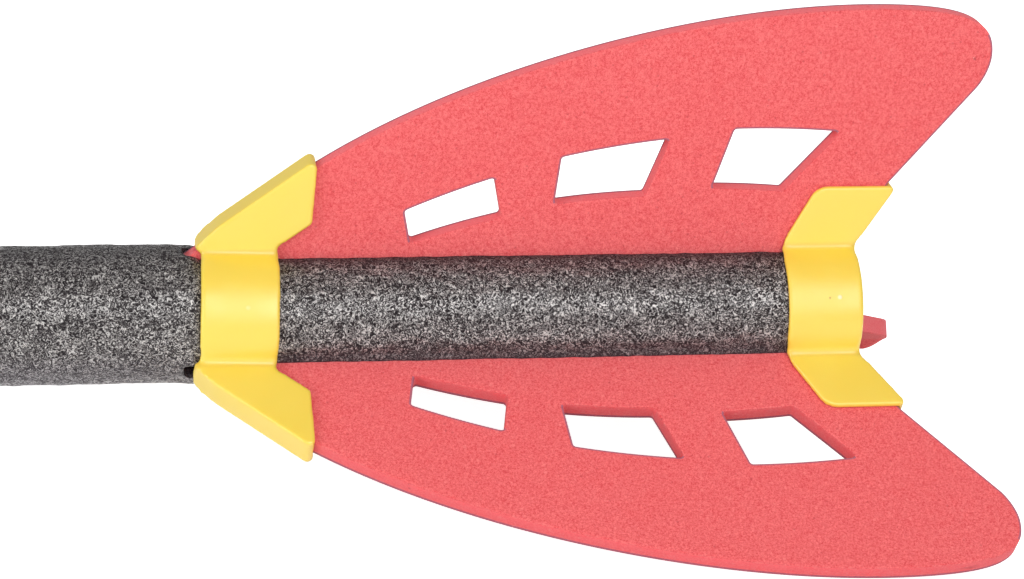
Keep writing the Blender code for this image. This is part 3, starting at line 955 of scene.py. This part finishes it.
@dataclass(frozen=True)
class FinSheet:
    """A fin cut from foam sheet, with three windows between two long arcs.

    An arc is its crest's place ahead of the tail face, its crest's height over the tail's radius, and its
    radius. A window has its front end and its rear end, each as places on the outer and the inner arc, then
    how far its outer and its inner edge were cut off those arcs, outwards, in front and in the rear.
    """

    layout: Layout
    leading_straight: float = 0.0300
    leading_handle: float = 0.0723
    crest_height: float = 0.0955
    crest_fore_handle: float = 0.0723
    crest_aft_handle: float = 0.0380
    tip_reach: float = 0.0468
    tip_height: float = 0.0771
    tip_upper_handle: float = 0.0128
    tip_lower_handle: float = 0.0045
    trailing_angle: float = math.radians(39.2)
    trailing_top: float = 0.0642
    trailing_handle: float = 0.0036
    seat_height: float = 0.0270
    outer_arc: Point3 = (0.0319, 0.0492, 0.348)
    inner_arc: Point3 = (0.0568, 0.0256, 0.320)
    windows: tuple = (
        ((0.1734, 0.1710), (0.1399, 0.1369), (-0.0002, -0.0005), (0.0011, 0.0)),
        ((0.1150, 0.1171), (0.0741, 0.0826), (0.0, -0.0009), (0.0005, -0.0015)),
        ((0.0499, 0.0573), (0.0087, 0.0295), (0.0006, -0.0008), (0.0, -0.0004)),
    )
    window_steps: int = 10
    corner: float = 0.0014
    edge: float = 0.0005
    edge_steps: int = 3
    steps: int = 40
    tip_steps: int = 12
    root_gap: float = 0.0028
    # Width of the painted dark shade line on the cut faces, how far it runs onto the skin, and the way that
    # marks the far cuts.
    line: float = 0.0011
    line_on_skin: float = 0.0003
    outward: Point3 = (-0.3, 0.0, 0.5)
    bend: float = 0.0030
    bend_place: float = 0.040
    bend_length: float = 0.0055
    bend_low: float = 0.103
    bend_high: float = 0.111
    bend_sag: float = 0.0007
    bend_step: float = 0.002
    bend_slices: range = range(-9, 4)
    bend_rows: range = range(7)

    def outline(self, fin: FinPlace) -> list[Point]:
        """One fin's edge, from the front of the root: leading edge, crest, rounded tip and trailing edge."""
        lay = self.layout
        root = lay.bore + self.root_gap
        nose = lay.fin_nose + fin.setback
        straight_end = lay.fin_nose + self.leading_straight
        start = Vector((straight_end, lay.leading_height(straight_end)))
        crest = Vector((0.0, lay.tail_radius + self.crest_height))
        tip = Vector((self.tip_reach, lay.tail_radius + self.tip_height))
        seat_top = lay.tail_radius + self.seat_height
        seat_end = Vector((lay.seat_place(seat_top), seat_top))
        trailing = math.pi / 2 - self.trailing_angle
        corner = seat_end + polar(trailing, (self.trailing_top - self.seat_height) / math.sin(trailing))
        along, up = Vector((1.0, 0.0)), Vector((0.0, 1.0))
        leading_pull = start + polar(lay.leading_angle, self.leading_handle)
        fore_pull, aft_pull = crest - along * self.crest_fore_handle, crest + along * self.crest_aft_handle
        upper_pull, lower_pull = tip + up * self.tip_upper_handle, tip - up * self.tip_lower_handle
        trailing_pull = corner + polar(trailing, self.trailing_handle)
        points = [Vector((nose, root)), Vector((nose, lay.leading_height(nose) + fin.lift))]
        points += interpolate_bezier(start, leading_pull, fore_pull, crest, 2 * self.steps)
        points += interpolate_bezier(crest, aft_pull, upper_pull, tip, self.steps)
        points += interpolate_bezier(tip, lower_pull, trailing_pull, corner, self.tip_steps)
        points += [seat_end, Vector((lay.seat_place(root), root))]
        return lined_up(points)

    def along_arc(self, arc: Point3, ends: Point, off: Point) -> list[Point]:
        """The points of a window's long edge.

        Args:
            arc: The arc that it follows.
            ends: How far ahead of the tail face it starts and ends.
            off: How far it starts and ends off the arc, outwards.

        Returns:
            Its points.
        """
        crest, height, radius = arc
        points = []
        for step in range(self.window_steps + 1):
            share = step / self.window_steps
            ahead = ends[0] + (ends[1] - ends[0]) * share
            drop = radius - math.sqrt(radius**2 - (ahead - crest) ** 2)
            top = self.layout.tail_radius + height - drop
            points.append((-ahead, top + off[0] + (off[1] - off[0]) * share))
        return points

    def window(self, front: Point, rear: Point, outer_off: Point, inner_off: Point) -> list[Point]:
        """The outline of one window, whose ends are slanted."""
        points = self.along_arc(self.outer_arc, (front[0], rear[0]), outer_off)
        points += self.along_arc(self.inner_arc, (rear[1], front[1]), inner_off[::-1])
        radii = (self.corner, *[0.0] * (self.window_steps - 1), self.corner)
        return rounded([(x, height, radius) for (x, height), radius in zip(points, radii * 2)])

    def bent(self, shape: Shape) -> None:
        """Bends the fin's tail sideways, as the photographed one is, after slicing its faces finely."""
        for step in self.bend_slices:
            sliced(shape, (self.bend_place + self.bend_step * step, 0.0, 0.0), (1.0, 0.0, 0.0))
        for step in self.bend_rows:
            sliced(shape, (0.0, 0.0, self.bend_low + self.bend_step * step), (0.0, 0.0, 1.0))
        for vert in shape.verts:
            share = smooth_step((vert.co.z - self.bend_low) / (self.bend_high - self.bend_low))
            near = math.exp(-(((vert.co.x - self.bend_place) / self.bend_length) ** 2))
            vert.co.y += self.bend * near * share
            vert.co.y += self.bend_sag * max(vert.co.z - self.layout.tail_radius, 0.0) / self.bend_low

    def lined(self, shape: Shape, side: int) -> None:
        """Gives the faces their finish: 0 for the skin, 1 for the cut foam, 2 for the painted dark shade line
        along the far edges.
        """
        half = self.layout.fin_thickness / 2
        strip = half - self.edge - self.line
        for place in (-strip, strip):
            sliced(shape, (0.0, place, 0.0), (0.0, 1.0, 0.0))
        shape.normal_update()
        for face in shape.faces:
            across = face.calc_center_median().y
            outward = face.normal.dot(Vector(self.outward))
            face.material_index = int(abs(across) < half - self.edge)
            if abs(face.normal.y) < FLAT and abs(across) > strip and across * side * outward > 0:
                face.material_index = 2
        rims = {face for face in shape.faces if face.material_index == 2}
        for face in {near for rim in rims for edge in rim.edges for near in edge.link_faces} - rims:
            if abs(face.normal.y) > FLAT:
                face.material_index = 2

    def build(self, fin: FinPlace, finishes: Finishes) -> Object:
        """Cuts one fin and stands it in its place."""
        rings = [self.outline(fin), *[self.window(*window) for window in self.windows]]
        rim = self.edge + self.line_on_skin
        shape = plate(rings, self.layout.fin_thickness, self.edge, self.edge_steps, rim)
        self.lined(shape, fin.shade_line_side)
        if fin is FinPlace.RIGHT:
            self.bent(shape)
        shape.transform(fin.stand(self.layout.tail_radius))
        name = "foam_" + fin.node
        materials = [finishes.fin_face, finishes.fin_cut, finishes.fin_line]
        piece = finished(name, to_mesh(name, shape), materials, "foam_red", fin.node)
        return piece


@dataclass(frozen=True)
class Collar:
    """A moulded ring with three U-shaped pockets that hold the fins."""

    layout: Layout
    node: str
    front: float
    block: list
    tilt: float = 0.0
    shift: Point3 = (0.0, 0.0, 0.0)
    ring_edge: float = 0.0007
    cheek_edge: float = 0.0021
    cheek_steps: int = 5
    bore_reach: float = 4.0
    sides: int = 180
    voxel: float = 0.00054
    softness: float = 0.5
    softening: int = 9
    creases: tuple = ((0.0046, 11), (0.0028, 11))

    @property
    def width(self) -> float:
        """Width over a pocket's two cheeks."""
        return self.layout.fin_thickness + 2 * (self.layout.pocket_fit + self.layout.collar_wall)

    @property
    def stance(self) -> Matrix:
        """How the whole collar was pushed on: tilted about its ring's middle, and shifted."""
        middle = Matrix.Translation((self.front + self.layout.ring_width / 2, 0.0, 0.0))
        tilt = middle @ Matrix.Rotation(math.radians(self.tilt), 4, "Y") @ middle.inverted()
        return Matrix.Translation(self.shift) @ tilt

    def soften_creases(self, shape: Shape) -> None:
        """Fills the sharp valleys between the ring and the pockets' cheeks with a soft fillet."""
        outer = self.layout.ring_radius
        back = self.stance.inverted()
        turns = [fin.turn.inverted() @ back for fin in FinPlace]
        every_way = {"use_axis_x": True, "use_axis_y": True, "use_axis_z": True}
        for reach, rounds in self.creases:
            near = []
            for vert in shape.verts:
                for turn in turns:
                    local = turn @ vert.co
                    across = abs(abs(local.y) - self.width / 2)
                    if local.z > 0 and math.hypot(across, math.hypot(local.y, local.z) - outer) < reach:
                        near.append(vert)
                        break
            for _ in range(rounds):
                bmesh.ops.smooth_vert(shape, verts=near, factor=self.softness, **every_way)

    def melt(self, collar: Object, name: str) -> None:
        """Adds a fine remesh, which makes one skin of all that overlaps."""
        remesh = collar.modifiers.new(name, "REMESH")
        remesh.mode = "VOXEL"
        remesh.voxel_size = self.voxel
        remesh.use_smooth_shade = True

    def blank(self) -> Shape:
        """The solid ring with the three solid blocks, before the bore and the pockets are cut."""
        outer, front, edge = self.layout.ring_radius, self.front, self.ring_edge
        rear = front + self.layout.ring_width
        profile = [(front, 0.0), (front, outer - edge), (front + edge, outer)]
        profile += [(rear - edge, outer), (rear, outer - edge), (rear, 0.0)]
        shape = turned(profile, self.sides)
        shape.transform(self.stance)
        for fin in FinPlace:
            block = plate([self.block], self.width, self.cheek_edge, self.cheek_steps)
            block.transform(self.stance @ fin.turn)
            mesh = to_mesh("block", block)
            shape.from_mesh(mesh)
            bpy.data.meshes.remove(mesh)
        return shape

    def cutters(self, fins: dict[FinPlace, list[Point]]) -> list[Object]:
        """The helpers that cut the bore and the pockets, which follow the fins' outlines."""
        lay = self.layout
        bore = lay.tail_radius + lay.fit
        reach = self.bore_reach * lay.ring_width
        through = [(self.front - reach, 0.0), (self.front - reach, bore)]
        through += [(self.front + reach, bore), (self.front + reach, 0.0)]
        helpers = [new_object("bore", to_mesh("bore", turned(through, self.sides)))]
        for fin in FinPlace:
            outline = grown(fins[fin], lay.pocket_fit)
            pocket = plate([outline], lay.fin_thickness + 2 * lay.pocket_fit, 0.0, 1)
            pocket.transform(fin.stand(lay.tail_radius))
            helpers.append(new_object(f"pocket_{fin.node}", to_mesh("pocket", pocket)))
        return helpers

    def build(self, fins: dict[FinPlace, list[Point]], finishes: Finishes) -> Object:
        """Melts the blocks and the ring together, cuts the bore and the pockets, and softens all edges.

        Args:
            fins: The outlines of the fins.
            finishes: The finished materials.

        Returns:
            The collar.
        """
        collar = new_object(self.node + "_blank", to_mesh("blank", self.blank()))
        self.melt(collar, "join")
        cutters = self.cutters(fins)
        cut(collar, cutters)
        self.melt(collar, "soften")
        smooth = collar.modifiers.new("smooth", "SMOOTH")
        smooth.factor = self.softness
        smooth.iterations = self.softening
        shape = bmesh.new()
        shape.from_mesh(baked(collar, cutters))
        self.soften_creases(shape)
        mesh = to_mesh(self.node, shape, sharp=180.0)
        return finished("moulded_" + self.node, mesh, [finishes.yellow], "collar_plastic", self.node)


@dataclass(frozen=True)
class FrontCollar:
    """The front collar's cheeks: a sloped front wall, a rounded tip, and a rear edge with a low heel."""

    layout: Layout
    tilt: float = 2.0
    shift: Point3 = (-0.00035, 0.0, 0.0006)
    cheek_edge: float = 0.0026
    length: float = 0.0417
    foot: float = 0.0064
    foot_drop: float = 0.0030
    foot_run: float = 0.0120
    foot_radius: float = 0.0012
    crown: float = 0.0003
    crown_radius: float = 0.0300
    heel_height: float = 0.0140
    heel_setback: float = 0.0011
    heel_radius: float = 0.0015
    step: float = 0.0045
    tip_radius: float = 0.0022

    def collar(self) -> Collar:
        """The whole collar."""
        lay = self.layout
        rise = (lay.pocket_fit + lay.collar_wall) / math.cos(lay.leading_angle)
        foot = lay.front_ring - self.foot
        bend = foot + self.foot_run
        end = lay.front_ring + self.length
        front = lay.front_ring + lay.block_inset
        rear = lay.front_ring + lay.ring_width - lay.block_inset
        sunk = lay.tail_radius - lay.collar_wall
        corners = [
            (front, sunk, 0.0),
            (front, lay.ring_radius, 0.0),
            (foot, lay.leading_height(foot) + rise - self.foot_drop, self.foot_radius),
            (bend, lay.leading_height(bend) + rise + self.crown, self.crown_radius),
            (end, lay.leading_height(end) + rise, self.tip_radius),
            (end - self.heel_setback, lay.tail_radius + self.heel_height, self.heel_radius),
            (rear, lay.tail_radius + self.step, self.heel_radius),
            (rear, sunk, 0.0),
        ]
        pushed = {"tilt": self.tilt, "shift": self.shift, "cheek_edge": self.cheek_edge}
        return Collar(lay, "front_fin_collar", lay.front_ring, rounded(corners), **pushed)


@dataclass(frozen=True)
class RearCollar:
    """The rear collar's cheeks: a leaning front edge, a level top, and a rear edge along the fin's seat."""

    layout: Layout
    height: float = 0.0262
    run: float = 0.0120
    front_radius: float = 0.0072
    turn_height: float = 0.0012
    turn_radius: float = 0.0060
    rear_radius: float = 0.0016

    def collar(self) -> Collar:
        """The whole collar."""
        lay = self.layout
        top = lay.tail_radius + self.height
        sunk = lay.tail_radius - lay.collar_wall
        front = -lay.ring_width + lay.block_inset
        back = (lay.pocket_fit + lay.collar_wall) / math.cos(lay.seat_angle)
        rear_foot = lay.tail_radius + (lay.seat_setback - back - lay.block_inset) / math.tan(lay.seat_angle)
        corners = [
            (front, sunk, 0.0),
            (front, lay.ring_radius + self.turn_height, self.turn_radius),
            (-lay.ring_width + self.run, top, self.front_radius),
            (lay.seat_place(top) + back, top, self.rear_radius),
            (0.0, max(rear_foot, lay.ring_radius), self.turn_radius),
            (0.0, sunk, 0.0),
        ]
        return Collar(lay, "rear_fin_collar", -lay.ring_width, rounded(corners))


@dataclass(frozen=True)
class Nose:
    """The soft foam nose, with a stem that plugs into the core."""

    layout: Layout
    length: float = 0.068
    band: float = 0.010
    band_steps: int = 6
    stem: float = 0.045
    edge: float = 0.0012
    edge_steps: int = 4
    bluntness: float = 0.55
    steps: int = 60
    sides: int = 128
    swell: float = 0.00015
    swell_length: float = 0.006

    def build(self, finishes: Finishes) -> Object:
        """Turns the nose and dresses it."""
        lay = self.layout
        base = lay.tube_front - lay.fit
        stem = lay.core_bore - lay.fit
        profile = [(base + self.stem, 0.0), (base + self.stem, stem), (base, stem)]
        profile += corner_arc(base, lay.tube_radius, self.edge, self.edge_steps)
        band = range(2, self.band_steps)
        profile += [(base - self.band * step / self.band_steps, lay.tube_radius) for step in band]
        for step in range(self.steps + 1):
            share = math.sin(math.pi / 2 * step / self.steps)
            radius = lay.tube_radius * (1 - share**2) ** self.bluntness
            profile.append((base - self.band - (self.length - self.band) * share, radius))
        shape = turned(profile, self.sides)
        for vert in shape.verts:
            if vert.co.x < base - self.edge:
                outward = Vector((0.0, vert.co.y, vert.co.z)).normalized()
                vert.co += outward * self.swell * noise.noise(vert.co / self.swell_length)
        mesh = to_mesh("foam_nose", shape)
        piece = finished("foam_nose", mesh, [finishes.fin_face], "foam_red", "nose_cone")
        return piece


@dataclass(frozen=True)
class TailPlug:
    """The moulded plug that closes the core and covers the cut foam."""

    layout: Layout
    diameter: float = 0.034
    flange: float = 0.0012
    stem: float = 0.018
    edge: float = 0.0004
    edge_steps: int = 4
    dish: float = 0.0004
    dish_radius: float = 0.0088
    sides: int = 128
    sharp: float = 25.0

    def build(self, finishes: Finishes) -> Object:
        """Turns the plug and dresses it."""
        stem = self.layout.core_bore - self.layout.fit
        rim = self.diameter / 2
        end = -self.flange - self.stem
        profile = [(-self.dish, 0.0), (-self.dish, self.dish_radius - self.dish), (0.0, self.dish_radius)]
        profile += corner_arc(0.0, rim, self.edge, self.edge_steps)
        profile += [(-self.flange, rim), (-self.flange, stem), (end, stem), (end, 0.0)]
        mesh = to_mesh("moulded_tail_plug", turned(profile, self.sides), self.sharp)
        return finished("moulded_tail_plug", mesh, [finishes.yellow], "collar_plastic", "tail_plug")


@dataclass(frozen=True)
class CoreTube:
    """The stiff tube inside the foam, whose CAD shape stays."""

    node: str = "core_tube"

    def build(self, finishes: Finishes) -> Object:
        """Gives the CAD node its finish."""
        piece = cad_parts[self.node]
        piece.data.materials.clear()
        piece.data.materials.append(finishes.grey)
        return piece


# Studio


@dataclass(frozen=True)
class Lamp:
    """A soft box lamp: where it stands, its width and height, and its power in watts."""

    name: str
    place: Point3
    width: float
    height: float
    power: float

    def build(self, aim: Vector) -> None:
        """Hangs the lamp, turned to what it lights."""
        light = bpy.data.lights.new(self.name, "AREA")
        light.shape = "RECTANGLE"
        light.size = self.width
        light.size_y = self.height
        light.energy = self.power
        obj = bpy.data.objects.new(self.name, light)
        obj.location = self.place
        obj.rotation_euler = (Vector(self.place) - aim).to_track_quat("Z", "Y").to_euler()
        obj.visible_camera = False
        bpy.context.scene.collection.objects.link(obj)


@dataclass(frozen=True)
class Studio:
    """The pale floor, the white surroundings, the lamps and the camera."""

    camera_place: Point3 = (-0.26681358, -0.87350198, 0.38696763)
    camera_turn: Point3 = (66.80241246, -2.37788554, -7.80258954)
    lens: float = 88.778
    sensor: float = 36.0
    nearest: float = 0.01
    aim: Point3 = (-0.13, 0.0, 0.0)
    dome: float = 0.43
    floor_side: float = 8.0
    floor_glow: float = 0.90
    floor_drop: float = 0.0002
    nose_touch: Point = (-0.745, -0.73)
    fins_behind: float = 0.4
    lamps: tuple = (
        Lamp("key", (0.08, -1.22, 0.82), 1.0, 0.9, 11.1),
        Lamp("left", (-1.50, -0.70, 0.50), 0.6, 0.6, 8.0),
    )

    def camera(self) -> None:
        """Sets the camera at the photograph's place."""
        data = bpy.data.cameras.new("camera")
        data.lens = self.lens
        data.sensor_width = self.sensor
        data.clip_start = self.nearest
        obj = bpy.data.objects.new("camera", data)
        obj.location = self.camera_place
        obj.rotation_euler = Euler([math.radians(turn) for turn in self.camera_turn], "XYZ")
        bpy.context.scene.collection.objects.link(obj)
        bpy.context.scene.camera = obj

    def seen_white(self, sheet: Sheet, mirrored: bool) -> Socket:
        """1 for what the camera sees, also through glass and, if asked, by reflection."""
        path = sheet.add("ShaderNodeLightPath").outputs
        rays = ["Is Camera Ray", "Is Transmission Ray"] + ["Is Glossy Ray"] * mirrored
        return sheet.largest([path[ray] for ray in rays])

    def world(self) -> None:
        """A plain white dome, dimmer as a light than it looks."""
        world = bpy.data.worlds.new("white dome")
        world.use_nodes = True
        bpy.context.scene.world = world
        sheet = Sheet(world.node_tree)
        strength = sheet.remap(self.seen_white(sheet, False), 0.0, 1.0, self.dome, 1.0)
        sheet.feed(world.node_tree.nodes["Background"], {"Color": WHITE, "Strength": strength})

    def floor(self, pieces: list[Object]) -> None:
        """Lays a white floor that touches the nose and the lower fins from below."""
        corners = [vert.co for piece in pieces for vert in piece.data.vertices]
        front, rear = self.nose_touch
        nose = min([co for co in corners if front < co.x < rear], key=lambda co: co.z)
        behind = [co for co in corners if co.x > nose.x + self.fins_behind]
        slope = max((nose.z - co.z) / (co.x - nose.x) for co in behind)
        shape = bmesh.new()
        bmesh.ops.create_grid(shape, x_segments=1, y_segments=1, size=self.floor_side / 2)
        tilt = Matrix.Rotation(math.atan(slope), 4, "Y")
        shape.transform(Matrix.Translation((nose.x, 0.0, nose.z - self.floor_drop)) @ tilt)
        floor = new_object("floor", to_mesh("floor", shape))
        material, sheet, shader = started("white floor")
        looks = {
            "Base Color": (0.86, 0.86, 0.86),
            "Roughness": 0.9,
            "Specular IOR Level": 0.0,
            "Emission Color": WHITE,
            "Emission Strength": sheet.times(self.seen_white(sheet, True), self.floor_glow),
        }
        sheet.feed(shader, looks)
        floor.data.materials.append(material)

    def build(self, pieces: list[Object]) -> None:
        """Sets up the whole studio."""
        self.camera()
        self.world()
        self.floor(pieces)
        for lamp in self.lamps:
            lamp.build(Vector(self.aim))
        bpy.context.scene.view_settings.view_transform = "Standard"


def main() -> None:
    """Builds the rocket piece by piece, then the studio round it."""
    logging.basicConfig(level=logging.INFO, format="%(name)s: %(message)s")
    layout = Layout()
    finishes = make_finishes()
    fin = FinSheet(layout)
    pieces = [FoamTube(layout).build(finishes)]
    pieces += [fin.build(place, finishes) for place in FinPlace]
    outlines = {place: fin.outline(place) for place in FinPlace}
    pieces += [kind(layout).collar().build(outlines, finishes) for kind in (FrontCollar, RearCollar)]
    pieces += [Nose(layout).build(finishes), TailPlug(layout).build(finishes), CoreTube().build(finishes)]
    for piece in pieces:
        piece.data.calc_loop_triangles()
        LOG.info("%s: %d triangles", piece.name, len(piece.data.loop_triangles))
    Studio().build(pieces)


if __name__ == "__main__":
    main()
